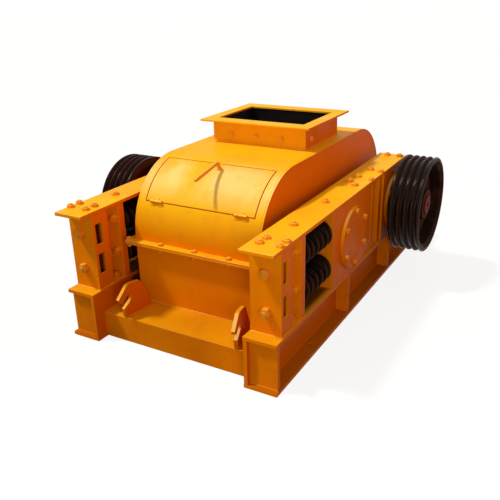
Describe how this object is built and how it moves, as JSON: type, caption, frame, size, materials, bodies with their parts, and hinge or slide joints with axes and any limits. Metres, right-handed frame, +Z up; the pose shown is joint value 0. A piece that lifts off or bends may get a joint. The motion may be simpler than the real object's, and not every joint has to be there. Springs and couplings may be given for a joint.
{
  "type": "double roll crusher",
  "caption": "Double roll crusher with a rounded hood, feed hopper, spring-loaded front roll, side-mounted belt pulleys and an inspection door.",
  "frame": {"origin": "on the ground, in the middle of the base frame's width and length", "axes": "+X to the right seen from the spring end, +Y from the spring end to the fixed-roll end, +Z up"},
  "size_m": [1.624, 2.095, 0.944],
  "materials": {
    "yellow_enamel": "glossy orange-yellow machine enamel",
    "black_enamel": "glossy black enamel",
    "roll_steel": "bare turned steel",
    "red_primer": "red-brown primer on a machined shaft end"
  },
  "bodies": {
    "root": {"base_beam_left": "yellow_enamel", "base_beam_right": "yellow_enamel", "front_cross_beam": "yellow_enamel", "rear_cross_beam": "yellow_enamel", "front_post_left": "yellow_enamel", "front_post_right": "yellow_enamel", "spring_seats": "yellow_enamel", "adjusting_screws_left": "yellow_enamel", "adjusting_screws_right": "yellow_enamel", "springs_left": "black_enamel", "springs_right": "black_enamel", "top_rail_left": "yellow_enamel", "top_rail_right": "yellow_enamel", "rear_stops": "yellow_enamel", "spacers": "yellow_enamel", "fixed_housing_left": "yellow_enamel", "fixed_housing_right": "yellow_enamel", "fixed_covers": "yellow_enamel", "housing_front_wall": "yellow_enamel", "housing_rear_wall": "yellow_enamel", "housing_side_left": "yellow_enamel", "housing_side_right": "yellow_enamel", "housing_flange": "yellow_enamel", "hood_flange": "yellow_enamel", "hood_front": "yellow_enamel", "hood_top": "yellow_enamel", "hood_rear": "yellow_enamel", "hood_side_left": "yellow_enamel", "hood_side_right": "yellow_enamel", "hopper_box": "yellow_enamel", "hopper_flange": "yellow_enamel", "door_hinges": "yellow_enamel", "lifting_hooks_front": "yellow_enamel", "lifting_hooks_rear": "yellow_enamel"},
    "front_carriage": {"sliding_housing_left": "yellow_enamel", "sliding_housing_right": "yellow_enamel", "sliding_covers": "yellow_enamel"},
    "front_roll_set": {"front_roll": "roll_steel", "front_shaft": "red_primer", "pulley_left": "black_enamel"},
    "rear_roll_set": {"rear_roll": "roll_steel", "rear_shaft": "red_primer", "pulley_right": "black_enamel"},
    "door": {"inspection_door": "yellow_enamel", "door_handle": "yellow_enamel"}
  },
  "joints": [
    {"name": "roll_release", "type": "slide", "parent": "root", "child": "front_carriage", "axis": [0, -1, 0], "range_m": [0, 0.03], "stiffness_N_per_m": 864000, "springref_m": -0.01, "deforming": ["springs_left", "springs_right"]},
    {"name": "front_roll_spin", "type": "hinge", "parent": "front_carriage", "child": "front_roll_set", "pos_m": [0, -0.222, 0.435], "axis": [1, 0, 0], "continuous": true},
    {"name": "rear_roll_spin", "type": "hinge", "parent": "root", "child": "rear_roll_set", "pos_m": [0, 0.423, 0.435], "axis": [1, 0, 0], "continuous": true},
    {"name": "door_hinge", "type": "hinge", "parent": "root", "child": "door", "pos_m": [0, -0.72925, 0.65227], "axis": [1, 0, 0], "range_deg": [0, 140]}
  ]
}
